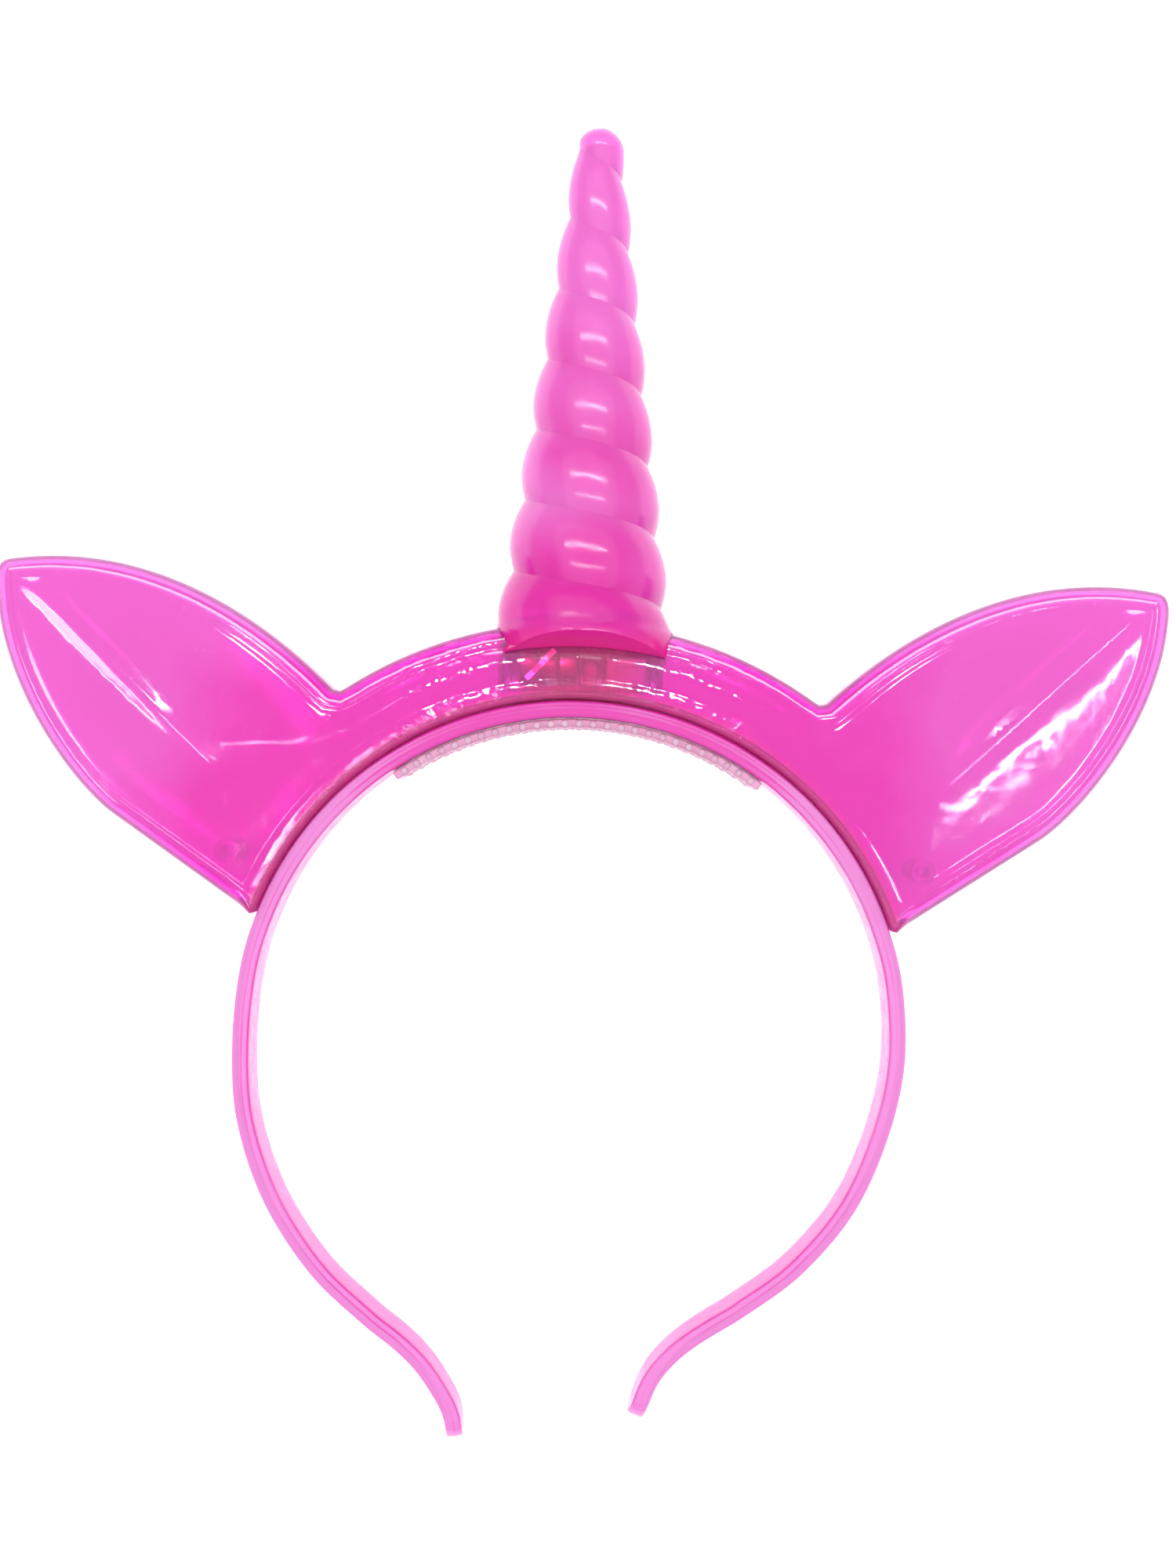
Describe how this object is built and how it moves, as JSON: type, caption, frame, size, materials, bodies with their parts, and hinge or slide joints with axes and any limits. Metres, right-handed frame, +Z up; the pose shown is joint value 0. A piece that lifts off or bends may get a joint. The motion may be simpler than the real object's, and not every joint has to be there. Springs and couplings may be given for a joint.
{
  "type": "unicorn horn headband",
  "caption": "Light-up costume headband in clear pink plastic: a springy hoop, a hollow crown with pointed ears and a hollow grooved horn.",
  "frame": {"origin": "middle of the bounding box, at the surface the headband lies on", "axes": "+Z up from that surface, +Y along the headband towards the horn's tip, +X to the right seen from the front; it lies on its back, front up"},
  "size_m": [0.2332, 0.2622, 0.0357],
  "materials": {
    "crown_plastic": "clear tinted, high gloss",
    "horn_plastic": "clear tinted, high gloss",
    "hoop_plastic": "clear tinted, gloss",
    "comb_plastic": "clear, satin",
    "holder_plastic": "satin",
    "cell_steel": "brushed",
    "lamp_lens": "clear, high gloss",
    "block_plastic": "matt",
    "contact_metal": "rolled strip"
  },
  "bodies": {
    "root": {"headband": "hoop_plastic", "comb_strip": "comb_plastic", "crown_front": "crown_plastic", "crown_back": "crown_plastic", "horn": "horn_plastic", "battery_holder": "holder_plastic", "button_cell_1": "cell_steel", "button_cell_2": "cell_steel", "button_cell_3": "cell_steel", "led_lamp": "lamp_lens", "switch_block": "block_plastic", "contact_strip": "contact_metal"}
  },
  "joints": []
}
